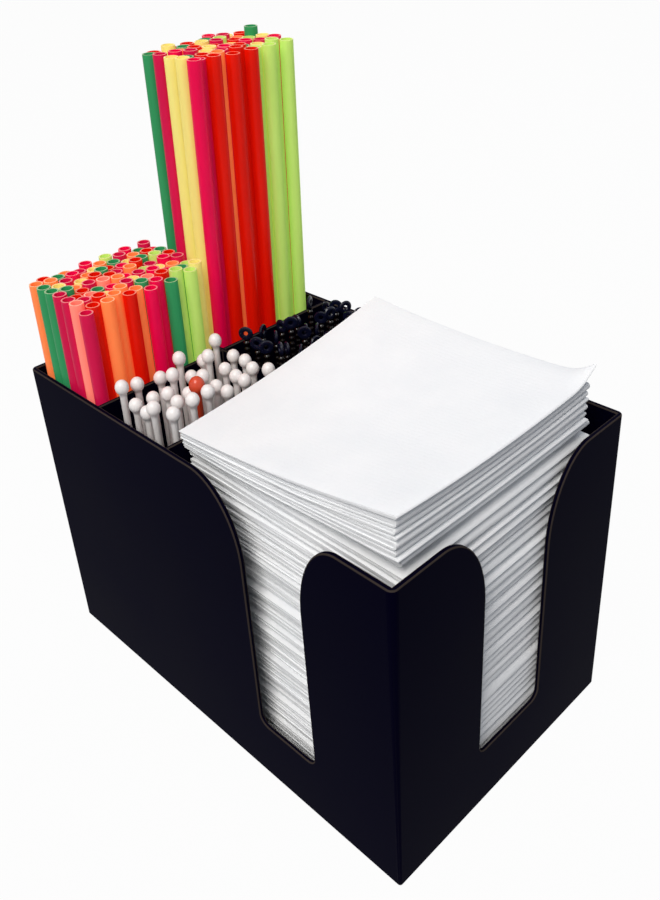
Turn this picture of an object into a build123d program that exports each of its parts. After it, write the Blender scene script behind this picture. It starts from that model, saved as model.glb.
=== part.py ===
"""Bar caddy with its napkins, drinking straws, ball-top stirrers and beaded picks.

Millimetres. +Z is up, +X runs from the straw end to the napkin end, and -Y is the long side with the
grab cutout. The origin is on the table, under the middle of the caddy.

The caddy is one thin-walled moulding: a floor, four drafted walls of one height and three partitions,
which make one square napkin bay and four narrow bays. A U-shaped cutout opens one long wall and the
end wall beside the napkins, and leaves an L-shaped post at the corner between them. The napkin bay is
sized from the napkins, and the caddy's length and width from its bays.
"""

import os
from functools import partial
from math import atan2, cos, degrees, radians, sin, sqrt
from random import Random

from build123d import *

# ---------------------------------------------------------------- driving dimensions: the moulding
HEIGHT = 160.0
WALL = 2.4
PARTITION = 1.8  # thickness of a partition at the rim
FLOOR = 4.0  # height of the floor's upper face
OUTER_DRAFT = 1.5  # how far each outer wall leans in from the rim to the table
BAY_DRAFT = 1.0  # how far each bay's walls lean in from the rim to the floor
CORNER_RADIUS = 3.0
FOOT_RIM = 6.0  # width of the flat rim that stands on the table
UNDERSIDE_RECESS = 1.2
STRAW_BAY = 55.2  # length of each straw bay at the rim
STIRRER_BAY = 50.2  # length of the stirrers' and the picks' bays at the rim
SEAT = 0.3  # clearance between a standing piece and the floor

# ---------------------------------------------------------------- driving dimensions: the cutouts
SILL = 32.0  # height of both cutouts' lower edge
SILL_RADIUS = 5.0
SIDE_CUT_WIDTH = 35.0
SIDE_CUT_OFFSET = -1.0  # its middle lies this much nearer the straws than the bay's
SIDE_FLARE_LEFT = 28.0  # width and height of the long rounding up to the rim
SIDE_FLARE_LEFT_HEIGHT = 38.0
SIDE_FLARE_RIGHT = 22.0
END_CUT_WIDTH = 43.0
END_FLARE = 26.0
FLARE_HEIGHT = 41.0

# ---------------------------------------------------------------- driving dimensions: the napkins
NAPKIN = 123.5  # side of a folded cocktail napkin
NAPKIN_CLEARANCE = 1.85  # free space at the rim at each end of the pile
NAPKIN_NEAR = 7.85  # free space at the rim between the pile and the long wall with the cutout
NAPKIN_FAR = 13.85  # and at the other long wall, where fingers reach down
NAPKIN_THICK = 4.1
STACK_PITCH = 4.6
STACK_JOG = 0.5  # how far a napkin may sit out of line
STACK_SEED = 7
UPPER_COUNT = 7
UPPER_PITCH_LOW = 1.45  # pitch at the corner that droops, by the stirrers
UPPER_PITCH_HIGH = 3.4  # pitch at the other corners
UPPER_GAP = 0.2
UPPER_OVERHANG = 3.2  # how far the napkins above the rim lean out over it
UPPER_SAG = 0.6  # how much deeper each one hangs in its middle than the one under it
UPPER_CELLS = 4  # facets along each side of a bent napkin

# ---------------------------------------------------------------- driving dimensions: the straws
STRAW_SIDES = 6
STRAW_WALL = 0.45
STRAW_SPREAD = 3.0  # the longest straws are this much longer than the shortest
LONG_DIAMETER = 6.4
LONG_LENGTH = 296.0
LONG_PITCH = 7.4
LONG_ROW_GAP = 5.65
LONG_INSET = 1.6  # free space between the long straws' feet and the caddy's end wall
LONG_LEAN = (11.0, -4.0)  # how far the bundle's top leans over its foot
LONG_FAN = (0.16, -0.02)  # how much wider the bundle is at its top, along x and along y
LONG_SEED = 3
TALL_STRAW = (10, 1)  # row and column of the long straw that stands out of the bundle
TALL_STRAW_EXTRA = 6.0
SHORT_DIAMETER = 6.0
SHORT_LENGTH = 200.0
SHORT_PITCH = 7.1
SHORT_ROW_GAP = 5.7
SHORT_INSET = 0.5
SHORT_LEAN = (0.6, 0.4)
SHORT_FAN = (0.012, 0.012)
SHORT_SEED = 5

# Each line is one row of straws, from the straw end's wall inwards; the first row is the front one.
LONG_ROWS = [
    "GCYYP",
    "RYPGC",
    "YOCRR",
    "CGRYO",
    "RPYCR",
    "OYRPR",
    "GCORR",
    "PLYGL",
    "CRPYL",
    "YOLCL",
    "RGYPL",
]
SHORT_ROWS = [
    "OGGCCSC",
    "ROYGRCR",
    "GCORSRO",
    "OPYCGYO",
    "CORSPOR",
    "PYGROCO",
    "ORCPYGP",
    "LGPOCSP",
    "CYRLPRG",
    "POGCYPL",
    "GRLPOGL",
    "CPGRCLY",
]
LONG_COLOURS = {
    "G": "green",
    "C": "crimson",
    "Y": "yellow",
    "P": "pink",
    "R": "red",
    "O": "orange",
    "L": "lime",
}
SHORT_COLOURS = dict(LONG_COLOURS, S="salmon")

# ---------------------------------------------------------------- driving dimensions: stirrers, picks
STIRRER_DIAMETER = 2.8
STIRRER_LENGTH = 162.0
STIRRER_SIDES = 6
KNOB_DIAMETER = 6.4
KNOB_BAND = 2.8  # height of the knob's widest part
KNOB_CAP = 2.1  # height of each of the knob's two tapered ends
KNOB_TIP = 3.2  # width of the knob's top
STIRRER_STEP = (8.2, 11.2)
STIRRER_SEED = 11
RED_STIRRER = 13  # which stirrer of the grid is the red one
PICK_STEM = 1.8
PICK_LENGTH = 160.0
PICK_LOOP = 7.2
PICK_LOOP_HOLE = 3.4
PICK_LOOP_SIDES = 6
PICK_BEADS = 2.6  # width of the row of small beads under the head, modelled as one run
PICK_BEADS_LENGTH = 14.0
PICK_STEP = (8.4, 11.3)
PICK_SEED = 17
PLACE_JITTER = (0.9, 1.6)  # how far a stirrer or pick may stand off its grid place
LENGTH_SPREAD = 9.0  # the tallest stirrers and picks stand this much above the shortest
SPRAY = 0.05  # how much the stirrers and picks spread from foot to head

# ---------------------------------------------------------------- places that follow from the sizes
NAPKIN_BAY = NAPKIN + 2 * NAPKIN_CLEARANCE
LENGTH = 2 * WALL + STRAW_BAY + STIRRER_BAY + NAPKIN_BAY + 2 * PARTITION
WIDTH = 2 * WALL + NAPKIN_NEAR + NAPKIN + NAPKIN_FAR
END_FACE = LENGTH / 2 - WALL  # inner face of an end wall at the rim
SIDE_FACE = WIDTH / 2 - WALL
STRAW_BAY_END = -END_FACE + STRAW_BAY
STIRRER_BAY_START = STRAW_BAY_END + PARTITION
STIRRER_BAY_END = STIRRER_BAY_START + STIRRER_BAY
BAYS = {  # low x, high x, low y, high y at the rim
    "napkins": (END_FACE - NAPKIN_BAY, END_FACE, -SIDE_FACE, SIDE_FACE),
    "short_straws": (-END_FACE, STRAW_BAY_END, -SIDE_FACE, -PARTITION / 2),
    "long_straws": (-END_FACE, STRAW_BAY_END, PARTITION / 2, SIDE_FACE),
    "stirrers": (STIRRER_BAY_START, STIRRER_BAY_END, -SIDE_FACE, -PARTITION / 2),
    "picks": (STIRRER_BAY_START, STIRRER_BAY_END, PARTITION / 2, SIDE_FACE),
}
NAPKIN_X = END_FACE - NAPKIN_BAY / 2
NAPKIN_Y = -SIDE_FACE + NAPKIN_NEAR + NAPKIN / 2
STACK_COUNT = int((HEIGHT - FLOOR - SEAT) / STACK_PITCH)
STACK_TOP = FLOOR + SEAT + (STACK_COUNT - 1) * STACK_PITCH + NAPKIN_THICK


def standing_plane(foot, lean):
    """The plane square to a straight piece that starts at foot and leans by lean over one unit of height."""
    return Plane(origin=foot, x_dir=(1, 0, 0), z_dir=(lean[0], lean[1], 1))


def face(*corners):
    return Face(Wire.make_polygon(corners, close=True))


def save(part, name):
    part.label = name
    export_step(part, f"parts/{name}.step")


# ---------------------------------------------------------------- the moulding
def cutout(plane, left, right, left_flare, right_flare, left_height, right_height):
    """A U with a flat sill, small lower corners and long elliptical flares up to the rim."""
    above = HEIGHT + WALL
    with BuildSketch(plane) as profile:
        with BuildLine():
            Polyline(
                (left - left_flare, HEIGHT),
                (left - left_flare, above),
                (right + right_flare, above),
                (right + right_flare, HEIGHT),
            )
            EllipticalCenterArc(
                center=(right + right_flare, HEIGHT - right_height),
                x_radius=right_flare,
                y_radius=right_height,
                start_angle=90,
                arc_size=90,
            )
            FilletPolyline(
                (right, HEIGHT - right_height),
                (right, SILL),
                (left, SILL),
                (left, HEIGHT - left_height),
                radius=SILL_RADIUS,
            )
            EllipticalCenterArc(
                center=(left - left_flare, HEIGHT - left_height),
                x_radius=left_flare,
                y_radius=left_height,
                start_angle=0,
                arc_size=90,
            )
        make_face()
    return profile.sketch


def caddy_shell():
    middle = NAPKIN_X + SIDE_CUT_OFFSET
    side_cutout = cutout(
        Plane.XZ.offset(SIDE_FACE - WALL),
        middle - SIDE_CUT_WIDTH / 2,
        middle + SIDE_CUT_WIDTH / 2,
        SIDE_FLARE_LEFT,
        SIDE_FLARE_RIGHT,
        SIDE_FLARE_LEFT_HEIGHT,
        FLARE_HEIGHT,
    )
    end_cutout = cutout(
        Plane.YZ.offset(END_FACE - WALL),
        -END_CUT_WIDTH / 2,
        END_CUT_WIDTH / 2,
        END_FLARE,
        END_FLARE,
        FLARE_HEIGHT,
        FLARE_HEIGHT,
    )
    with BuildPart() as shell:
        with BuildSketch(Plane.XY.offset(HEIGHT)):
            RectangleRounded(LENGTH, WIDTH, CORNER_RADIUS)
        extrude(amount=-HEIGHT, taper=degrees(atan2(OUTER_DRAFT, HEIGHT)))
        for low_x, high_x, low_y, high_y in BAYS.values():
            with BuildSketch(Plane.XY.offset(HEIGHT)):
                with Locations(((low_x + high_x) / 2, (low_y + high_y) / 2)):
                    Rectangle(high_x - low_x, high_y - low_y)
            extrude(
                amount=FLOOR - HEIGHT,
                taper=degrees(atan2(BAY_DRAFT, HEIGHT - FLOOR)),
                mode=Mode.SUBTRACT,
            )
        with BuildSketch(Plane.XY):
            recess = 2 * (OUTER_DRAFT + FOOT_RIM)
            Rectangle(LENGTH - recess, WIDTH - recess)
        extrude(amount=UNDERSIDE_RECESS, mode=Mode.SUBTRACT)
        extrude(side_cutout, amount=3 * WALL, mode=Mode.SUBTRACT)
        extrude(end_cutout, amount=3 * WALL, mode=Mode.SUBTRACT)
    return shell.part


# ---------------------------------------------------------------- the napkins
def napkin_stack():
    """The folded napkins below the rim, each lying on the one under it."""
    jog = Random(STACK_SEED)
    places = [
        (
            NAPKIN_X + jog.uniform(-STACK_JOG, STACK_JOG),
            NAPKIN_Y + jog.uniform(-STACK_JOG, STACK_JOG),
            FLOOR + SEAT + i * STACK_PITCH,
        )
        for i in range(STACK_COUNT)
    ]
    with BuildPart() as stack:
        with Locations(places):
            Box(NAPKIN, NAPKIN, NAPKIN_THICK, align=(Align.CENTER, Align.CENTER, Align.MIN))
    return stack.part


def bent_height(level, along, across):
    """Height of a bent napkin's underside at a fraction of its length and width."""
    base = STACK_TOP + SEAT
    high = base + (level + 1) * UPPER_PITCH_HIGH
    droop = high - (base + level * UPPER_PITCH_LOW)
    hang = 2 * (along * (1 - along) + across * (1 - across)) * (level + 1) * UPPER_SAG
    return high - droop * (1 - along) * (1 - across) - hang


def bent_napkin(level):
    """One napkin above the rim: a faceted sheet that swells up to the one that lies on it."""
    out = UPPER_OVERHANG * min(1.0, 0.4 + level / UPPER_COUNT)
    corner = (NAPKIN_X - NAPKIN / 2, NAPKIN_Y - NAPKIN / 2 - out)
    last = UPPER_CELLS

    def point(i, j, top):
        along, across = i / last, j / last
        up = bent_height(level + 1, along, across) - UPPER_GAP if top else bent_height(level, along, across)
        return (corner[0] + along * NAPKIN, corner[1] + across * NAPKIN, up)

    faces = []
    for i in range(last):
        for j in range(last):
            for top in (False, True):
                near, right = point(i, j, top), point(i + 1, j, top)
                left, far = point(i, j + 1, top), point(i + 1, j + 1, top)
                faces += [face(near, right, left), face(right, far, left)]
        for start, end in (
            ((i, 0), (i + 1, 0)),
            ((i, last), (i + 1, last)),
            ((0, i), (0, i + 1)),
            ((last, i), (last, i + 1)),
        ):
            faces.append(face(point(*start, False), point(*end, False), point(*end, True), point(*start, True)))
    return Solid(Shell(faces))


def napkins_upper():
    return Compound([bent_napkin(level) for level in range(UPPER_COUNT)])


# ---------------------------------------------------------------- what stands in the narrow bays
def bundle_places(rows, bay, pitch, row_gap, diameter, length, inset, lean, fan, seed):
    """Foot, lean per millimetre, share of the spread and turn of each straw that fits, by colour letter."""
    low_x, high_x, low_y, high_y = BAYS[bay]
    rise = (HEIGHT - FLOOR) / length  # how much of the lean and fan a straw has at the rim
    widening = [1 + share * rise for share in fan]
    free_x = high_x - low_x - BAY_DRAFT - inset - diameter
    free_y = high_y - low_y - diameter
    reach_x = min(free_x - BAY_DRAFT, 2 * (free_x - lean[0] * rise) / (1 + widening[0]))
    reach_y = min(free_y - 2 * BAY_DRAFT, (free_y - 2 * abs(lean[1]) * rise) / widening[1])
    columns = int(reach_x / pitch + 0.5)
    lines = int(reach_y / row_gap) + 1
    first_x = low_x + BAY_DRAFT + inset + diameter / 2 + pitch / 2
    middle_x = first_x + (columns - 1.5) * pitch / 2
    middle_y = (low_y + high_y) / 2
    draw = Random(seed)
    places = {}
    for row in range(lines):
        y = middle_y + (row - (lines - 1) / 2) * row_gap
        letters = rows[row % len(rows)]
        for column in range(columns):
            x = first_x + column * pitch - (pitch / 2 if row % 2 else 0)
            slope = (
                (lean[0] + fan[0] * (x - middle_x)) / length,
                (lean[1] + fan[1] * (y - middle_y)) / length,
            )
            tilt = diameter / 2 * sqrt(slope[0] ** 2 + slope[1] ** 2)
            place = ((x, y, FLOOR + SEAT + tilt), slope, draw.uniform(0, 1), 0)
            places.setdefault(letters[column % len(letters)], {})[row, column] = place
    return places


def grid_places(bay, step, width, seed):
    """Feet of a loose handful on a jittered grid, each leaning away from the middle of its bay."""
    low_x, high_x, low_y, high_y = BAYS[bay]
    middle = ((low_x + high_x) / 2, (low_y + high_y) / 2)
    taken = 2 * BAY_DRAFT + width
    columns = int((high_x - low_x - taken - 2 * PLACE_JITTER[0]) / step[0]) + 1
    lines = int((high_y - low_y - taken - 2 * PLACE_JITTER[1]) / step[1]) + 1
    draw = Random(seed)
    places = []
    for row in range(lines):
        for column in range(columns):
            x = (column - (columns - 1) / 2) * step[0] + draw.uniform(-1, 1) * PLACE_JITTER[0]
            y = (row - (lines - 1) / 2) * step[1] + draw.uniform(-1, 1) * PLACE_JITTER[1]
            lean = (SPRAY * x / STIRRER_LENGTH, SPRAY * y / STIRRER_LENGTH)
            foot = (middle[0] + x, middle[1] + y, FLOOR + SEAT)
            places.append((foot, lean, draw.uniform(0, 1), draw.uniform(0, 180)))
    return places


def straw(diameter, length):
    """One straw, standing on the origin."""
    with BuildPart() as tube:
        with BuildSketch():
            RegularPolygon(diameter / 2, STRAW_SIDES)
            RegularPolygon(diameter / 2 - STRAW_WALL, STRAW_SIDES, mode=Mode.SUBTRACT)
        extrude(amount=length)
    return tube.part


def stirrer(length):
    """One ball-top stirrer, standing on the origin: a six-sided shaft and knob."""
    knob_top = length - KNOB_CAP
    profile = (
        (0, STIRRER_DIAMETER / 2),
        (knob_top - KNOB_BAND - KNOB_CAP, STIRRER_DIAMETER / 2),
        (knob_top - KNOB_BAND, KNOB_DIAMETER / 2),
        (knob_top, KNOB_DIAMETER / 2),
        (length, KNOB_TIP / 2),
    )
    turns = [radians(360 * side / STIRRER_SIDES) for side in range(STIRRER_SIDES)]
    rings = [[(radius * cos(turn), radius * sin(turn), height) for turn in turns] for height, radius in profile]
    faces = [face(*rings[0]), face(*rings[-1])]
    for low, high in zip(rings, rings[1:]):
        for side in range(STIRRER_SIDES):
            faces.append(face(low[side - 1], low[side], high[side], high[side - 1]))
    return Solid(Shell(faces))


def pick(length):
    """One pick, standing on the origin: a square stem with its run of beads and a flat looped head."""
    neck = length - PICK_LOOP
    with BuildPart() as piece:
        with BuildSketch():
            Rectangle(PICK_STEM, PICK_STEM)
        extrude(amount=neck + (PICK_LOOP - PICK_LOOP_HOLE) / 4)
        with BuildSketch(Plane.XZ.offset(-PICK_STEM / 2)):
            with Locations((0, neck + PICK_LOOP / 2)):
                RegularPolygon(PICK_LOOP / 2, PICK_LOOP_SIDES)
                RegularPolygon(PICK_LOOP_HOLE / 2, PICK_LOOP_SIDES, mode=Mode.SUBTRACT)
        extrude(amount=PICK_STEM)
        with BuildSketch(Plane.XY.offset(neck - PICK_BEADS_LENGTH)):
            Rectangle(PICK_BEADS, PICK_BEADS)
        extrude(amount=PICK_BEADS_LENGTH)
    return piece.part


def handful(make, shortest, spread, places):
    """One piece at each place, each of its own length and turned its own way, as separate solids."""
    pieces = []
    for foot, lean, tall, turn in places:
        plane = standing_plane(foot, lean).rotated((0, 0, turn))
        pieces.append(plane.location * make(shortest + spread * tall).solid())
    return Compound(pieces)


# ---------------------------------------------------------------- write the parts
os.makedirs("parts", exist_ok=True)
save(caddy_shell(), "caddy_shell")
save(napkin_stack(), "napkin_stack")
save(napkins_upper(), "napkins_upper")
save(bent_napkin(UPPER_COUNT), "napkin_top")

long_places = bundle_places(
    LONG_ROWS,
    "long_straws",
    LONG_PITCH,
    LONG_ROW_GAP,
    LONG_DIAMETER,
    LONG_LENGTH,
    LONG_INSET,
    LONG_LEAN,
    LONG_FAN,
    LONG_SEED,
)
for letter, colour in LONG_COLOURS.items():
    places = long_places[letter]
    if TALL_STRAW in places:
        foot, lean, _, turn = places[TALL_STRAW]
        places[TALL_STRAW] = (foot, lean, TALL_STRAW_EXTRA / STRAW_SPREAD, turn)
    straws = handful(partial(straw, LONG_DIAMETER), LONG_LENGTH, STRAW_SPREAD, places.values())
    save(straws, f"long_straws_{colour}")

short_places = bundle_places(
    SHORT_ROWS,
    "short_straws",
    SHORT_PITCH,
    SHORT_ROW_GAP,
    SHORT_DIAMETER,
    SHORT_LENGTH,
    SHORT_INSET,
    SHORT_LEAN,
    SHORT_FAN,
    SHORT_SEED,
)
for letter, colour in SHORT_COLOURS.items():
    places = short_places[letter].values()
    straws = handful(partial(straw, SHORT_DIAMETER), SHORT_LENGTH, STRAW_SPREAD, places)
    save(straws, f"short_straws_{colour}")

stirrer_places = grid_places("stirrers", STIRRER_STEP, KNOB_DIAMETER, STIRRER_SEED)
red_place = stirrer_places.pop(RED_STIRRER % len(stirrer_places))
save(handful(stirrer, STIRRER_LENGTH, LENGTH_SPREAD, stirrer_places), "stirrers_white")
save(handful(stirrer, STIRRER_LENGTH, LENGTH_SPREAD, [red_place]), "stirrer_red")
pick_places = grid_places("picks", PICK_STEP, PICK_LOOP, PICK_SEED)
save(handful(pick, PICK_LENGTH, LENGTH_SPREAD, pick_places), "picks_black")
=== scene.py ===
"""A black bar caddy with folded napkins, drinking straws, ball-top stirrers and beaded picks.

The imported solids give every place: the script reads where each straw, stirrer, pick and napkin stands,
and puts a finer piece there that rides on the same body.
"""

import math
import random

import bmesh
import bpy
import numpy as np
from mathutils import Matrix, Vector


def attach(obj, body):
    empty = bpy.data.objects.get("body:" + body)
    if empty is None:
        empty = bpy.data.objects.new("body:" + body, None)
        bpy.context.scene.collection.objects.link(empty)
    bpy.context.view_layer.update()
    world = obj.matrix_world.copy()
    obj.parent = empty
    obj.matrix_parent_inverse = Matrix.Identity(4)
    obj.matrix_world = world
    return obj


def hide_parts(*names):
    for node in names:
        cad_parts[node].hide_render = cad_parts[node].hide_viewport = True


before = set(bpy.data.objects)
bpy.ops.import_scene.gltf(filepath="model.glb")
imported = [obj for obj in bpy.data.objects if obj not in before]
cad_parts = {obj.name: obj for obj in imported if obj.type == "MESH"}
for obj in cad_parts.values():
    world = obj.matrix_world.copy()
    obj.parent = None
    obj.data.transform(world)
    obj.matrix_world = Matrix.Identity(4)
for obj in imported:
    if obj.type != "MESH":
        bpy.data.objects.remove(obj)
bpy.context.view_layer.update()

MM = 0.001
MERGE = 0.001 * MM


# ---------------------------------------------------------------- node helpers
def linear(code, alpha=1.0):
    """An sRGB hex colour as the linear RGBA that a shader takes."""
    channels = [int(code[i : i + 2], 16) / 255 for i in (1, 3, 5)]
    return (*[c / 12.92 if c <= 0.04045 else ((c + 0.055) / 1.055) ** 2.4 for c in channels], alpha)


def add(tree, kind, links=None, values=None, **settings):
    """One node: settings are its properties, values its sockets' numbers, links the sockets that feed it."""
    node = tree.nodes.new(kind)
    for name, value in settings.items():
        setattr(node, name, value)
    for name, value in (values or {}).items():
        node.inputs[name].default_value = value
    for name, socket in (links or {}).items():
        tree.links.new(socket, node.inputs[name])
    return node


def blended(code, other, share):
    """The hex colour that lies that share of the way from one hex colour to another."""
    pairs = [(int(code[i : i + 2], 16), int(other[i : i + 2], 16)) for i in (1, 3, 5)]
    return "#" + "".join(f"{round(a + (b - a) * share):02x}" for a, b in pairs)


def new_material(name):
    material = bpy.data.materials.new(name)
    material.use_nodes = True
    material.node_tree.nodes.clear()
    return material, material.node_tree


# ---------------------------------------------------------------- materials
SATIN_SHINE = 0.004
ORANGE_PEEL = 0.7 * MM
ROLLER_DOTS = 2.2 * MM  # distance between the pressed dots
TISSUE_FIBRE = 0.9 * MM


def moulded_polystyrene(name, colour, lighter, roughness):
    """Injection-moulded black polystyrene: a satin skin with a faint orange peel, unevenly rubbed."""
    material, tree = new_material(name)
    place = add(tree, "ShaderNodeTexCoord").outputs["Object"]
    cloud = add(tree, "ShaderNodeTexNoise", {"Vector": place}, {"Scale": 14.0, "Detail": 4.0})
    colours = {"A": linear(colour), "B": linear(lighter)}
    tint = add(tree, "ShaderNodeMix", {"Factor": cloud.outputs["Fac"]}, colours, data_type="RGBA")
    rub = add(
        tree,
        "ShaderNodeMapRange",
        {"Value": cloud.outputs["Fac"]},
        {"To Min": roughness - 0.05, "To Max": roughness + 0.08},
    )
    peel = add(tree, "ShaderNodeTexNoise", {"Vector": place}, {"Scale": 1 / ORANGE_PEEL, "Detail": 1.0})
    bump = add(
        tree,
        "ShaderNodeBump",
        {"Height": peel.outputs["Fac"]},
        {"Strength": 0.12, "Distance": 0.05 * MM},
    )
    skin = add(
        tree,
        "ShaderNodeBsdfPrincipled",
        {
            "Base Color": tint.outputs["Result"],
            "Roughness": rub.outputs["Result"],
            "Normal": bump.outputs["Normal"],
        },
        {"Specular IOR Level": SATIN_SHINE},
    )
    add(tree, "ShaderNodeOutputMaterial", {"Surface": skin.outputs["BSDF"]})
    return material


def embossed_tissue(name, colour, shade):
    """Two-ply tissue: matt white, with the pressed dots of the embossing roller and a soft cloudiness."""
    material, tree = new_material(name)
    place = add(tree, "ShaderNodeTexCoord").outputs["Object"]
    cloud = add(tree, "ShaderNodeTexNoise", {"Vector": place}, {"Scale": 45.0, "Detail": 5.0})
    colours = {"A": linear(colour), "B": linear(shade)}
    tint = add(tree, "ShaderNodeMix", {"Factor": cloud.outputs["Fac"]}, colours, data_type="RGBA")
    roller = {"Scale": 1 / ROLLER_DOTS, "Randomness": 0.25}
    dots = add(tree, "ShaderNodeTexVoronoi", {"Vector": place}, roller)
    fibre = add(tree, "ShaderNodeTexNoise", {"Vector": place}, {"Scale": 1 / TISSUE_FIBRE, "Detail": 3.0})
    pressed = {0: dots.outputs["Distance"], 1: fibre.outputs["Fac"]}
    height = add(tree, "ShaderNodeMath", pressed, operation="ADD")
    bump = add(
        tree,
        "ShaderNodeBump",
        {"Height": height.outputs["Value"]},
        {"Strength": 0.5, "Distance": 0.2 * MM},
    )
    skin = add(
        tree,
        "ShaderNodeBsdfPrincipled",
        {"Base Color": tint.outputs["Result"], "Normal": bump.outputs["Normal"]},
        {"Roughness": 0.95, "Specular IOR Level": 0.15},
    )
    add(tree, "ShaderNodeOutputMaterial", {"Surface": skin.outputs["BSDF"]})
    return material


PAINTED_GLOW = 0.22  # painted glow: how strongly the straws give off light of their own colour, which brightens their shaded faces
THROUGH_WALL = 0.4  # share of the light that comes through a straw's wall


def extruded_polypropylene(name, colour, deep):
    """Thin extruded polypropylene: faintly streaked, lets light through, and glows a little with painted light
    of its own colour.
    """
    material, tree = new_material(name)
    place = add(tree, "ShaderNodeTexCoord").outputs["Object"]
    along = add(tree, "ShaderNodeMapping", {"Vector": place}, {"Scale": (1.0, 1.0, 0.02)})
    fine = {"Scale": 420.0, "Detail": 2.0}
    streak = add(tree, "ShaderNodeTexNoise", {"Vector": along.outputs["Vector"]}, fine)
    colours = {"A": linear(colour), "B": linear(deep)}
    tint = add(tree, "ShaderNodeMix", {"Factor": streak.outputs["Fac"]}, colours, data_type="RGBA")
    skin = add(
        tree,
        "ShaderNodeBsdfPrincipled",
        {"Base Color": tint.outputs["Result"], "Emission Color": tint.outputs["Result"]},
        {"Roughness": 0.3, "Specular IOR Level": 0.2, "Emission Strength": PAINTED_GLOW},
    )
    through = add(tree, "ShaderNodeBsdfTranslucent", {"Color": tint.outputs["Result"]})
    wall = add(
        tree,
        "ShaderNodeMixShader",
        {1: skin.outputs["BSDF"], 2: through.outputs["BSDF"]},
        {"Fac": THROUGH_WALL},
    )
    add(tree, "ShaderNodeOutputMaterial", {"Surface": wall.outputs["Shader"]})
    return material


def glossy_polystyrene(name, colour, deep, roughness, shine, glow=0.0):
    """Small glossy mouldings: an even colour that deepens in soft clouds, under a bright skin."""
    material, tree = new_material(name)
    place = add(tree, "ShaderNodeTexCoord").outputs["Object"]
    cloud = add(tree, "ShaderNodeTexNoise", {"Vector": place}, {"Scale": 120.0, "Detail": 2.0})
    colours = {"A": linear(colour), "B": linear(deep)}
    tint = add(tree, "ShaderNodeMix", {"Factor": cloud.outputs["Fac"]}, colours, data_type="RGBA")
    skin = add(
        tree,
        "ShaderNodeBsdfPrincipled",
        {"Base Color": tint.outputs["Result"]},
        {"Roughness": roughness, "Specular IOR Level": shine},
    )
    surface = skin.outputs["BSDF"]
    if glow:
        through = add(tree, "ShaderNodeBsdfTranslucent", {"Color": tint.outputs["Result"]})
        sides = {1: surface, 2: through.outputs["BSDF"]}
        surface = add(tree, "ShaderNodeMixShader", sides, {"Fac": glow}).outputs["Shader"]
    add(tree, "ShaderNodeOutputMaterial", {"Surface": surface})
    return material


# the pale tint of the painted highlight on the straws' top rims
RIM_HIGHLIGHT_TINT = "#ffe6c8"
STRAW_COLOURS = {  # the colour of the wall, and the deeper one of its streaks
    "green": ("#46b478", "#339e60"),
    "crimson": ("#e81e60", "#d01452"),
    "yellow": ("#f4f09e", "#f0e290"),
    "pink": ("#f4105f", "#e00455"),
    "red": ("#f02008", "#d81400"),
    "orange": ("#ffb06c", "#f89450"),
    "lime": ("#dcf094", "#cae47a"),
    "salmon": ("#ffae9c", "#fc9886"),
}
BLACK_MOULDING = moulded_polystyrene("moulded_black_polystyrene", "#030212", "#050418", 0.42)
# painted highlight: a lighter brownish grey on the rounded rim and cutout edges, standing in for the light
# they catch
PAINTED_EDGE_HIGHLIGHT = moulded_polystyrene("painted_edge_highlight_on_black_polystyrene", "#2b2624", "#453d39", 0.5)
TISSUE = embossed_tissue("embossed_white_tissue", "#f9fafb", "#eceff2")
STRAWS = {
    name: extruded_polypropylene(f"{name}_extruded_polypropylene", wall, deep)
    for name, (wall, deep) in STRAW_COLOURS.items()
}
PAINTED_RIM_HIGHLIGHTS = {  # painted highlight: the top rims are made paler, standing in for the light that the cut ends catch
    name: extruded_polypropylene(
        f"painted_rim_highlight_of_{name}_polypropylene",
        blended(wall, RIM_HIGHLIGHT_TINT, 0.72),
        blended(deep, RIM_HIGHLIGHT_TINT, 0.6),
    )
    for name, (wall, deep) in STRAW_COLOURS.items()
}
WHITE_STIRRER = glossy_polystyrene("white_glossy_polystyrene", "#fffdfc", "#fbf5f3", 0.3, 0.5, 0.1)
RED_STIRRER = glossy_polystyrene("orange_red_clear_polystyrene", "#f05a38", "#dc4a28", 0.2, 0.5, 0.2)
BLACK_PICK = glossy_polystyrene("black_glossy_polystyrene", "#0a0505", "#110b0d", 0.16, 0.5)
BLUE_BLACK_HEAD = glossy_polystyrene("blue_black_glossy_polystyrene", "#08081a", "#10142c", 0.25, 0.3)


# ---------------------------------------------------------------- meshes
def finished(name, mesh, material, body, slot, *nodes):
    """A piece made of that mesh, which rides on a body and stands for those CAD nodes."""
    piece = bpy.data.objects.new(name, mesh)
    bpy.context.scene.collection.objects.link(piece)
    if not mesh.materials:
        mesh.materials.append(material)
    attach(piece, body)
    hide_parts(*nodes)
    return piece


def smoothed(mesh, sharpest=40):
    mesh.shade_smooth()
    mesh.set_sharp_from_angle(angle=math.radians(sharpest))
    return mesh


def solids(node):
    """The corners of each separate solid of a CAD node, one array a solid, from low x to high."""
    copy = bmesh.new()
    copy.from_mesh(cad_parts[node].data)
    bmesh.ops.remove_doubles(copy, verts=copy.verts, dist=MERGE)
    left = set(copy.verts)
    groups = []
    for start in copy.verts:
        if start not in left:
            continue
        left.discard(start)
        reached = [start]
        for vert in reached:
            for edge in vert.link_edges:
                other = edge.other_vert(vert)
                if other in left:
                    left.discard(other)
                    reached.append(other)
        groups.append(np.array([vert.co for vert in reached]))
    copy.free()
    return sorted(groups, key=lambda corners: tuple(corners.mean(0).round(6)))


def standing(corners):
    """Foot, upward direction, length and flat side's direction of one straight standing solid."""
    heights = corners[:, 2]
    upper = corners[heights > (heights.min() + heights.max()) / 2]
    foot = corners[heights < (heights.min() + heights.max()) / 2].mean(0)
    up = upper.mean(0) - foot
    up /= np.linalg.norm(up)
    across = upper - foot - np.outer((upper - foot) @ up, up)
    widest = across[np.linalg.norm(across, axis=1).argmax()]
    return foot, up, ((corners - foot) @ up).max(), widest / np.linalg.norm(widest)


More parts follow.
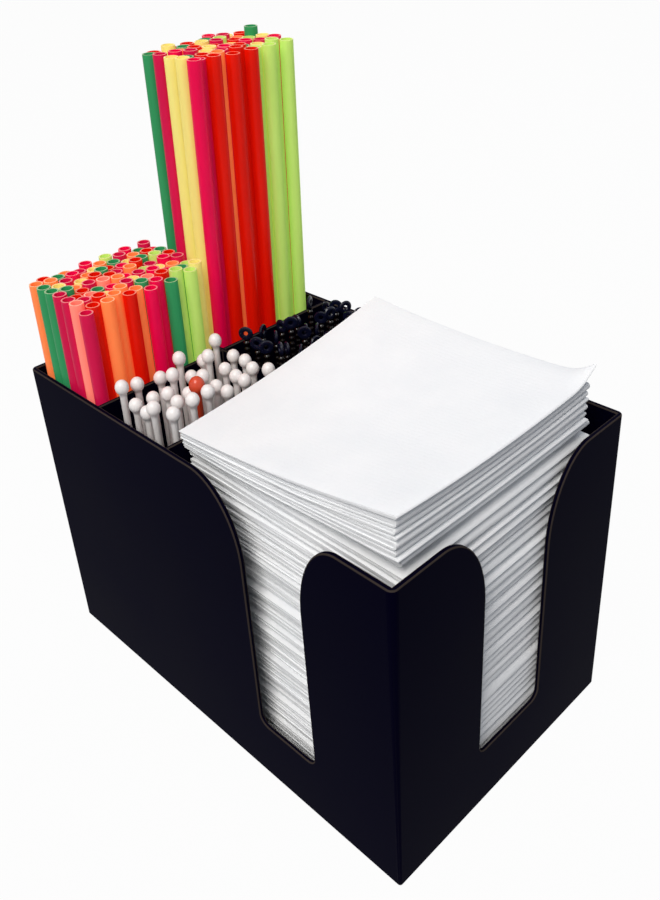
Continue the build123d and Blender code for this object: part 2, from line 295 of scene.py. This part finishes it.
# ---------------------------------------------------------------- what stands in the bays
def bundle_tree():
    """Geometry nodes: a copy of one piece on each foot, turned and stretched as the foot says."""
    tree = bpy.data.node_groups.new("pieces_on_their_feet", "GeometryNodeTree")
    tree.interface.new_socket("Feet", in_out="INPUT", socket_type="NodeSocketGeometry")
    tree.interface.new_socket("Piece", in_out="INPUT", socket_type="NodeSocketObject")
    tree.interface.new_socket("Finish", in_out="INPUT", socket_type="NodeSocketMaterial")
    tree.interface.new_socket("Thickness", in_out="INPUT", socket_type="NodeSocketFloat")
    tree.interface.new_socket("Bundle", in_out="OUTPUT", socket_type="NodeSocketGeometry")
    given = add(tree, "NodeGroupInput")
    turn = add(tree, "GeometryNodeInputNamedAttribute", values={"Name": "turn"}, data_type="FLOAT_VECTOR")
    length = add(tree, "GeometryNodeInputNamedAttribute", values={"Name": "length"}, data_type="FLOAT")
    rotation = add(tree, "FunctionNodeEulerToRotation", {"Euler": turn.outputs["Attribute"]})
    scale = add(
        tree,
        "ShaderNodeCombineXYZ",
        {"X": given.outputs["Thickness"], "Y": given.outputs["Thickness"], "Z": length.outputs["Attribute"]},
    )
    piece = add(tree, "GeometryNodeObjectInfo", {"Object": given.outputs["Piece"]})
    placed = add(
        tree,
        "GeometryNodeInstanceOnPoints",
        {
            "Points": given.outputs["Feet"],
            "Instance": piece.outputs["Geometry"],
            "Rotation": rotation.outputs["Rotation"],
            "Scale": scale.outputs["Vector"],
        },
    )
    real = add(tree, "GeometryNodeRealizeInstances", {"Geometry": placed.outputs["Instances"]})
    finish = add(
        tree,
        "GeometryNodeSetMaterial",
        {"Geometry": real.outputs["Geometry"], "Material": given.outputs["Finish"]},
    )
    add(tree, "NodeGroupOutput", {"Bundle": finish.outputs["Geometry"]})
    return tree


def bundle(name, piece, node, material, body, slot, thickness=1.0, second=None):
    """A copy of one piece, of unit length, in the place of each solid of a CAD node.

    Second is a second material and the numbers of the piece's faces that have it.
    """
    places = [standing(corners) for corners in solids(node)]
    feet = bpy.data.meshes.new(name + "_feet")
    feet.from_pydata([tuple(foot) for foot, *_ in places], [], [])
    feet.attributes.new("turn", "FLOAT_VECTOR", "POINT")
    feet.attributes.new("length", "FLOAT", "POINT")
    for i, (_, up, tall, side) in enumerate(places):
        across = np.cross(up, side)
        turned = Matrix(np.column_stack((side, across, up)).tolist()).to_euler()
        feet.attributes["turn"].data[i].vector = turned
        feet.attributes["length"].data[i].value = tall
    holder = bpy.data.objects.new(name + "_feet", feet)
    bpy.context.scene.collection.objects.link(holder)
    modifier = holder.modifiers.new("bundle", "NODES")
    modifier.node_group = BUNDLE_TREE
    sockets = {item.name: item.identifier for item in BUNDLE_TREE.interface.items_tree}
    modifier[sockets["Piece"]] = piece
    modifier[sockets["Finish"]] = material
    modifier[sockets["Thickness"]] = thickness
    bpy.context.view_layer.update()
    made = holder.evaluated_get(bpy.context.evaluated_depsgraph_get())
    mesh = bpy.data.meshes.new_from_object(made)
    bpy.data.objects.remove(holder)
    if second:
        other, its_faces = second
        mesh.materials.clear()
        mesh.materials.append(material)
        mesh.materials.append(other)
        for face in mesh.polygons:
            face.material_index = int(face.index % len(piece.data.polygons) in its_faces)
    return finished(name, smoothed(mesh), material, body, slot, node)


def lathe(name, profile, sides):
    """A prototype turned about the Z axis from (radius, height) pairs; its ends close where they meet it."""
    turned = bmesh.new()
    rings = []
    for radius, height in profile:
        if radius == 0:
            rings.append([turned.verts.new((0, 0, height))])
            continue
        angles = [2 * math.pi * i / sides for i in range(sides)]
        rings.append([turned.verts.new((radius * math.cos(a), radius * math.sin(a), height)) for a in angles])
    for low, high in zip(rings, rings[1:]):
        for i in range(sides):
            below = [low[i % len(low)], low[(i + 1) % len(low)]]
            above = [high[(i + 1) % len(high)], high[i % len(high)]]
            turned.faces.new(list(dict.fromkeys(below + above)))
    return prototype(name, turned)


def prototype(name, made):
    mesh = bpy.data.meshes.new(name)
    bmesh.ops.remove_doubles(made, verts=made.verts, dist=MERGE)
    bmesh.ops.recalc_face_normals(made, faces=made.faces)
    made.to_mesh(mesh)
    made.free()
    piece = bpy.data.objects.new(name, mesh)
    bpy.context.scene.collection.objects.link(piece)
    return piece


STRAW_SIDES = 20
STRAW_WALL = 0.6 * MM
TOP_RIM = range(STRAW_SIDES, 2 * STRAW_SIDES)  # a straw's faces run up its outside, then over its top rim
SNUG = {"long": 1.05, "short": 1.09}  # straws press together until they all but touch


def straw_tube(name, diameter):
    """A hollow straw of unit length."""
    outer = diameter / 2
    inner = outer - STRAW_WALL
    profile = [(outer, 0), (outer, 1), (inner, 1), (inner, 0), (outer, 0)]
    return lathe(name, profile, STRAW_SIDES)


STIRRER_LENGTH = 167 * MM  # about the middle of the solids' lengths, as is the picks'
STIRRER_SHAFT = 3.2 * MM
WHITE_KNOB = (6.4 * MM, 7.4 * MM)  # width and height
RED_KNOB = (7.4 * MM, 8.6 * MM)
STIRRER_ROUND = 16
PICK_LENGTH = 165 * MM
PICK_STEM = 2.0 * MM
PICK_POINT = 6 * MM
BEAD = 3.3 * MM
BEAD_PITCH = 3.2 * MM
BEADS = 13
PICK_ROUND = 8
LOOP = 7.4 * MM  # the picks' heads: outer diameter
LOOP_HOLE = 2.2 * MM
LOOP_AROUND, LOOP_ACROSS = 20, 8


def ball_stirrer(name, knob):
    """A ball-top stirrer of unit length, with a knob of that width and height."""
    shaft, length = STIRRER_SHAFT, STIRRER_LENGTH
    ball, ball_height = knob
    arc = [math.pi * i / 10 for i in range(11)]
    neck = length - ball_height
    profile = [(0, 0), (shaft * 0.3, 0), (shaft / 2, 0.4 * MM), (shaft / 2, neck - 1 * MM)]
    middle = neck + ball_height / 2
    profile += [
        (max(ball / 2 * math.sin(a), 0), middle - ball_height / 2 * math.cos(a))
        for a in arc
        if ball / 2 * math.sin(a) > shaft / 2 or a > math.pi / 2
    ]
    profile = [(r, z / length) for r, z in profile[:-1]] + [(0, 1)]
    return lathe(name, profile, STIRRER_ROUND)


def beaded_pick(name):
    """A pick of unit length: a stem, a run of beads and a flat looped head. Its head's faces come with it."""
    stem, length = PICK_STEM, PICK_LENGTH
    neck = length - LOOP
    start = neck - BEADS * BEAD_PITCH
    profile = [(0, 0), (stem * 0.2, 0), (stem / 2, PICK_POINT), (stem / 2, start)]
    waist = stem / 2 * 0.6
    for i in range(BEADS):
        for part in (0.1, 0.3, 0.5, 0.7, 0.9):
            swell = waist + (BEAD / 2 - waist) * math.sin(math.pi * part)
            profile.append((swell, start + (i + part) * BEAD_PITCH))
    profile += [(stem / 2, neck), (stem / 2, neck + 0.8 * MM), (0, neck + 0.8 * MM)]
    piece = lathe(name, [(r, z / length) for r, z in profile], PICK_ROUND)
    below = len(piece.data.polygons)
    ring = bmesh.new()
    ring.from_mesh(piece.data)
    middle = neck + LOOP / 2
    path, thick = (LOOP + LOOP_HOLE) / 4, (LOOP - LOOP_HOLE) / 4
    around, across = LOOP_AROUND, LOOP_ACROSS
    loops = []
    for i in range(around):
        a = 2 * math.pi * i / around
        loops.append([])
        for j in range(across):
            b = 2 * math.pi * j / across
            out = path + thick * math.cos(b)
            point = (out * math.cos(a), stem * 0.45 * math.sin(b), (middle + out * math.sin(a)) / length)
            loops[-1].append(ring.verts.new(point))
    for i in range(around):
        for j in range(across):
            here, after = loops[i], loops[(i + 1) % around]
            ring.faces.new((here[j], here[(j + 1) % across], after[(j + 1) % across], after[j]))
    bmesh.ops.recalc_face_normals(ring, faces=ring.faces)
    ring.to_mesh(piece.data)
    ring.free()
    return piece, range(below, len(piece.data.polygons))


def across_of(node):
    """Thickness of the straight pieces of a CAD node, at their feet."""
    corners = solids(node)[0]
    low = corners[corners[:, 2] < corners[:, 2].mean()]
    return 2 * np.linalg.norm((low - low.mean(0))[:, :2], axis=1).max()


BUNDLE_TREE = bundle_tree()
for kind, colours in (
    ("long", ("green", "crimson", "yellow", "pink", "red", "orange", "lime")),
    ("short", ("green", "crimson", "yellow", "pink", "red", "orange", "lime", "salmon")),
):
    tube = straw_tube(f"{kind}_straw", across_of(f"{kind}_straws_green"))
    for colour in colours:
        bundle(
            f"{kind}_straw_tubes_{colour}",
            tube,
            f"{kind}_straws_{colour}",
            STRAWS[colour],
            f"{kind}_straws",
            f"straw_{colour}",
            SNUG[kind],
            (PAINTED_RIM_HIGHLIGHTS[colour], TOP_RIM),
        )
    bpy.data.objects.remove(tube)

stirrer = ball_stirrer("ball_stirrer", WHITE_KNOB)
bundle("ball_stirrers_white", stirrer, "stirrers_white", WHITE_STIRRER, "stirrers", "white_plastic")
bpy.data.objects.remove(stirrer)
stirrer = ball_stirrer("red_ball_stirrer", RED_KNOB)
bundle("ball_stirrer_red", stirrer, "stirrer_red", RED_STIRRER, "stirrers", "straw_red")
bpy.data.objects.remove(stirrer)
pick, head_faces = beaded_pick("beaded_pick")
head = (BLUE_BLACK_HEAD, head_faces)
bundle("beaded_picks", pick, "picks_black", BLACK_PICK, "picks", "black_pick", second=head)
bpy.data.objects.remove(pick)


# ---------------------------------------------------------------- the napkins
# shares of a leaf's pitch: how much stays open under the next leaf, and how much a leaf ripples
CRISP = (0.08, 0.2)
SOFT = (0.03, 0.07)
FACE_WAVE = 50 * MM
EDGE_WAVE = 60 * MM
DRAWN_IN = 2.2  # how many fringes a leaf's edges stay within its solid
FOLD_CELLS = 6
PINCH = (0.2, 0.62)  # how much thinner napkins get at their edges
PINCH_REACH = 3.5 * MM
CURL_REACH = 16 * MM
UNEVEN = 0.3  # no two are folded to one thickness: the gaps lie off by up to this share of it


def surface(points):
    """A smooth height over (x, y) through those corners of a napkin's face."""
    centre = points[:, :2].mean(0)

    def terms(x, y):
        return np.stack([x * 0 + 1, x, y, x * y, x * x, y * y], -1)

    x, y = (points[:, :2] - centre).T
    weights = np.linalg.lstsq(terms(x, y), points[:, 2], rcond=None)[0]
    return lambda x, y: terms(x - centre[0], y - centre[1]) @ weights


def waves(draw, length, height):
    """A gentle seeded ripple over (x, y)."""
    turn = 2 * math.pi
    parts = [(draw.uniform(0, turn), draw.uniform(0, turn), draw.uniform(0.7, 1.4)) for _ in range(3)]

    def ripple(x, y):
        total = 0
        for way, phase, rate in parts:
            reach = x * math.cos(way) + y * math.sin(way)
            total = total + np.sin(turn * reach * rate / length + phase)
        return height * total / len(parts)

    return ripple


def fold_path(low, high, start, fold, cells):
    """A U in (x, height): along the lower leaf, round the fold, and back along the upper leaf."""
    radius = (high - low) / 2
    run = np.linspace(start, fold - radius, cells + 1)
    angles = np.linspace(-math.pi / 2, math.pi / 2, FOLD_CELLS + 1)[1:-1]
    bend = np.stack([fold - radius + radius * np.cos(angles), (low + high) / 2 + radius * np.sin(angles)], -1)
    return np.concatenate(
        [np.stack([run, run * 0 + low], -1), bend, np.stack([run[::-1], run * 0 + high], -1)]
    )


def folded_leaves(corners, draw, cells, fringe, looseness, curl, lower, upper):
    """Vertices and faces of one napkin: two folded sheets, one inside the other, in the space of its solid.

    Fringe is how far its edges stray, curl how far its far corner turns up, and lower and upper the
    shares of its thickness by which its two faces are moved.
    """
    x0, y0 = corners[:, 0].min(), corners[:, 1].min()
    x1, y1 = corners[:, 0].max(), corners[:, 1].max()
    keys = corners[:, :2].round(5)
    order = np.lexsort((corners[:, 2], keys[:, 1], keys[:, 0]))
    pairs = corners[order].reshape(-1, 2, 3)
    tall = pairs[:, 1:, 2] - pairs[:, :1, 2]
    pairs[:, :, 2] += tall * np.array([lower, upper])
    under, over = surface(pairs[:, 0]), surface(pairs[:, 1])
    thick = float((pairs[:, 1, 2] - pairs[:, 0, 2]).mean())
    pitch = thick / 4
    half = pitch * (1 - looseness[0]) / 2
    pinch = draw.uniform(*PINCH)
    out = [draw.uniform(-fringe, fringe) for _ in range(2)]
    vertices, faces = [], []
    for low in (0.5, 1.5):
        path = fold_path(low * pitch, thick - low * pitch, x0, x1 - fringe * DRAWN_IN + out[0], cells)
        ahead = np.gradient(path, axis=0)
        ahead /= np.linalg.norm(ahead, axis=1)[:, None]
        normal = np.stack([-ahead[:, 1], ahead[:, 0]], -1)
        count = len(path)
        in_lower = np.clip(np.linspace(1.5, -0.5, count), 0, 1)[:, None]
        lift = [waves(draw, FACE_WAVE, pitch * looseness[1]) for _ in range(2)]
        edge = [[waves(draw, EDGE_WAVE, fringe * 0.5) for _ in range(2)] for _ in range(2)]
        shift = [[draw.uniform(-fringe, fringe) * 0.7 for _ in range(2)] for _ in range(2)]
        across = np.linspace(0, 1, cells + 1)[None, :]
        for side in (-1, 1):
            x = np.repeat((path + side * half * normal)[:, :1], cells + 1, axis=1)
            h = np.repeat((path + side * half * normal)[:, 1:], cells + 1, axis=1)
            near = [y0 + fringe * DRAWN_IN + out[1] + shift[k][0] + edge[k][0](x, 0) for k in range(2)]
            far = [y1 - fringe * DRAWN_IN + out[1] + shift[k][1] + edge[k][1](x, 0) for k in range(2)]
            start = in_lower * near[0] + (1 - in_lower) * near[1]
            stop = in_lower * far[0] + (1 - in_lower) * far[1]
            y = start + (stop - start) * (1 - np.cos(np.pi * across)) / 2
            bottom, top = under(x, y), over(x, y)
            ripple = in_lower * lift[0](x, y) + (1 - in_lower) * lift[1](x, y)
            inside = np.minimum(np.minimum(x - x0, x1 - x), np.minimum(y - y0, y1 - y)).clip(0) / PINCH_REACH
            squeeze = 1 - pinch * np.exp(-inside)
            z = bottom + (top - bottom) * (0.5 + (h / thick - 0.5) * squeeze) + ripple
            corner = np.clip(1 - np.hypot(x1 - x, y1 - y) / CURL_REACH, 0, 1)
            z = z + curl * corner**2
            vertices.append(np.stack([x, y, z], -1).reshape(-1, 3))
        base = sum(len(v) for v in vertices[:-2])
        width = cells + 1
        size = count * width
        grid = np.arange(size).reshape(count, width) + base
        quads = np.stack([grid[:-1, :-1], grid[1:, :-1], grid[1:, 1:], grid[:-1, 1:]], -1).reshape(-1, 4)
        faces += quads[:, ::-1].tolist() + (quads + size).tolist()
        for line in (grid[:, 0], grid[::-1, -1], grid[0, ::-1], grid[-1, :]):
            rim = np.stack([line[:-1], line[1:], line[1:] + size, line[:-1] + size], -1)
            faces += rim.tolist()
    return np.concatenate(vertices), faces


def napkins(name, node, body, cells, fringe, seed, looseness, curl=0.0):
    """Every napkin of a CAD node as folded leaves of tissue, in one mesh."""
    draw = random.Random(seed)
    groups = sorted(solids(node), key=lambda corners: corners[:, 2].mean())
    vertices, faces, start = [], [], 0
    gaps = [0.0] + [draw.uniform(-UNEVEN, UNEVEN) for _ in groups[1:]] + [0.0]
    for corners, lower, upper in zip(groups, gaps, gaps[1:]):
        points, quads = folded_leaves(corners, draw, cells, fringe, looseness, curl, lower, upper)
        vertices.append(points)
        faces += [[index + start for index in quad] for quad in quads]
        start += len(points)
    mesh = bpy.data.meshes.new(name)
    mesh.from_pydata(np.concatenate(vertices).tolist(), [], faces)
    made = bmesh.new()
    made.from_mesh(mesh)
    bmesh.ops.recalc_face_normals(made, faces=made.faces)
    made.to_mesh(mesh)
    made.free()
    piece = finished(name, smoothed(mesh), TISSUE, body, "tissue", node)
    return piece


napkins("napkin_pile_in_bay", "napkin_stack", "napkin_pile", 16, 0.7 * MM, 21, CRISP)
napkins("napkins_above_rim", "napkins_upper", "napkin_pile", 24, 0.9 * MM, 22, SOFT)
napkins("napkin_on_top", "napkin_top", "top_napkin", 40, 0.3 * MM, 23, SOFT, 6 * MM)


# ---------------------------------------------------------------- the caddy
RIM_ROUND = 0.55 * MM
ONE_FACE = math.radians(0.6)  # faces that meet at less are one
SHARP_EDGE = math.radians(50)  # edges that turn by more are rounded


def rounded_caddy():
    """The moulding with its sharp edges rounded, and a lighter colour on the rounding as a painted highlight.
    """
    made = bmesh.new()
    made.from_mesh(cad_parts["caddy_shell"].data)
    bmesh.ops.remove_doubles(made, verts=made.verts, dist=MERGE)
    bmesh.ops.dissolve_limit(made, angle_limit=ONE_FACE, verts=made.verts, edges=made.edges)
    mesh = bpy.data.meshes.new("caddy_moulding")
    made.to_mesh(mesh)
    made.free()
    mesh.materials.append(BLACK_MOULDING)
    mesh.materials.append(PAINTED_EDGE_HIGHLIGHT)
    piece = finished("caddy_moulding", mesh, BLACK_MOULDING, "caddy", "black_moulding", "caddy_shell")
    bevel = piece.modifiers.new("rounded_edges", "BEVEL")
    bevel.width = RIM_ROUND
    bevel.segments = 2
    bevel.limit_method = "ANGLE"
    bevel.angle_limit = SHARP_EDGE
    bevel.material = 1  # the rounding gets the painted edge highlight
    bevel.harden_normals = True
    return piece


rounded_caddy()


# ---------------------------------------------------------------- floor, light and camera
def background_rays(tree):
    """1 for rays that look at the background: from the camera, off gloss or through clear plastic."""
    path = add(tree, "ShaderNodeLightPath")
    either = {0: path.outputs["Is Camera Ray"], 1: path.outputs["Is Glossy Ray"]}
    direct = add(tree, "ShaderNodeMath", either, operation="MAXIMUM").outputs["Value"]
    through = {0: direct, 1: path.outputs["Is Transmission Ray"]}
    return add(tree, "ShaderNodeMath", through, operation="MAXIMUM").outputs["Value"]


FLOOR_BRIGHTNESS = 0.97  # the rest of the floor's look is its shadow
FLOOR_REACH = 3.0


def pale_floor():
    material, tree = new_material("white_paper_sweep")
    seen = add(tree, "ShaderNodeMath", {0: background_rays(tree)}, {1: FLOOR_BRIGHTNESS}, operation="MULTIPLY")
    matt = add(tree, "ShaderNodeBsdfDiffuse", values={"Color": (0.4, 0.4, 0.4, 1)})
    bright = add(tree, "ShaderNodeEmission", values={"Strength": 1.0})
    mixed = add(
        tree,
        "ShaderNodeMixShader",
        {"Fac": seen.outputs["Value"], 1: matt.outputs["BSDF"], 2: bright.outputs["Emission"]},
    )
    add(tree, "ShaderNodeOutputMaterial", {"Surface": mixed.outputs["Shader"]})
    far = FLOOR_REACH
    mesh = bpy.data.meshes.new("floor")
    mesh.from_pydata([(-far, -far, 0), (far, -far, 0), (far, far, 0), (-far, far, 0)], [], [(0, 1, 2, 3)])
    mesh.materials.append(material)
    floor = bpy.data.objects.new("floor", mesh)
    bpy.context.scene.collection.objects.link(floor)


def lit_world():
    world = bpy.data.worlds.new("studio")
    bpy.context.scene.world = world
    world.use_nodes = True
    tree = world.node_tree
    tree.nodes.clear()
    soft = add(tree, "ShaderNodeBackground", values={"Color": linear("#e4eaf6"), "Strength": 0.3})
    white = add(tree, "ShaderNodeBackground", values={"Color": linear("#ffffff"), "Strength": 1.0})
    mixed = add(
        tree,
        "ShaderNodeMixShader",
        {"Fac": background_rays(tree), 1: soft.outputs["Background"], 2: white.outputs["Background"]},
    )
    add(tree, "ShaderNodeOutputWorld", {"Surface": mixed.outputs["Shader"]})


LIT_POINT = (0, 0, 0.1)


def soft_lamp(name, place, side, power, colour):
    lamp = bpy.data.lights.new(name, "AREA")
    lamp.size = side
    lamp.energy = power
    lamp.color = linear(colour)[:3]
    holder = bpy.data.objects.new(name, lamp)
    holder.location = place
    holder.rotation_euler = (Vector(LIT_POINT) - Vector(place)).to_track_quat("-Z", "Y").to_euler()
    bpy.context.scene.collection.objects.link(holder)


pale_floor()
lit_world()
soft_lamp("window_front", (0.38, -0.94, 1.50), 0.9, 24.5, "#fffbf6")
soft_lamp("window_behind", (-0.70, 0.95, 1.30), 0.8, 5, "#f2f6ff")

PHOTO_WIDTH, PHOTO_HEIGHT = 660, 900
VIEW_AZIMUTH, VIEW_ELEVATION, VIEW_ROLL = (math.radians(a) for a in (45.80, 27.10, -2.87))
FOCAL_PIXELS = 954.5
AXIS_PIXEL = (345.0, 335.0)  # where the camera's axis meets the picture
AIM = Vector((-0.1789, 0.2002, 0.05))
DISTANCE = 0.7310


def photo_camera():
    """The camera that took the photograph, as its vanishing lines place it."""
    sa, ca = math.sin(VIEW_AZIMUTH), math.cos(VIEW_AZIMUTH)
    se, ce = math.sin(VIEW_ELEVATION), math.cos(VIEW_ELEVATION)
    back = Vector((sa * ce, -ca * ce, se))
    level = Vector((ca, sa, 0))
    rise = back.cross(level)
    right = level * math.cos(VIEW_ROLL) + rise * math.sin(VIEW_ROLL)
    up = rise * math.cos(VIEW_ROLL) - level * math.sin(VIEW_ROLL)
    data = bpy.data.cameras.new("photo_camera")
    data.lens = FOCAL_PIXELS * data.sensor_width / PHOTO_HEIGHT
    data.shift_x = (PHOTO_WIDTH / 2 - AXIS_PIXEL[0]) / PHOTO_HEIGHT
    data.shift_y = (AXIS_PIXEL[1] - PHOTO_HEIGHT / 2) / PHOTO_HEIGHT
    data.clip_start = 0.01
    camera = bpy.data.objects.new("photo_camera", data)
    axes = Matrix((right, up, back)).transposed().to_4x4()
    camera.matrix_world = Matrix.Translation(AIM + back * DISTANCE) @ axes
    bpy.context.scene.collection.objects.link(camera)
    bpy.context.scene.camera = camera


photo_camera()
bpy.context.scene.view_settings.view_transform = "Standard"
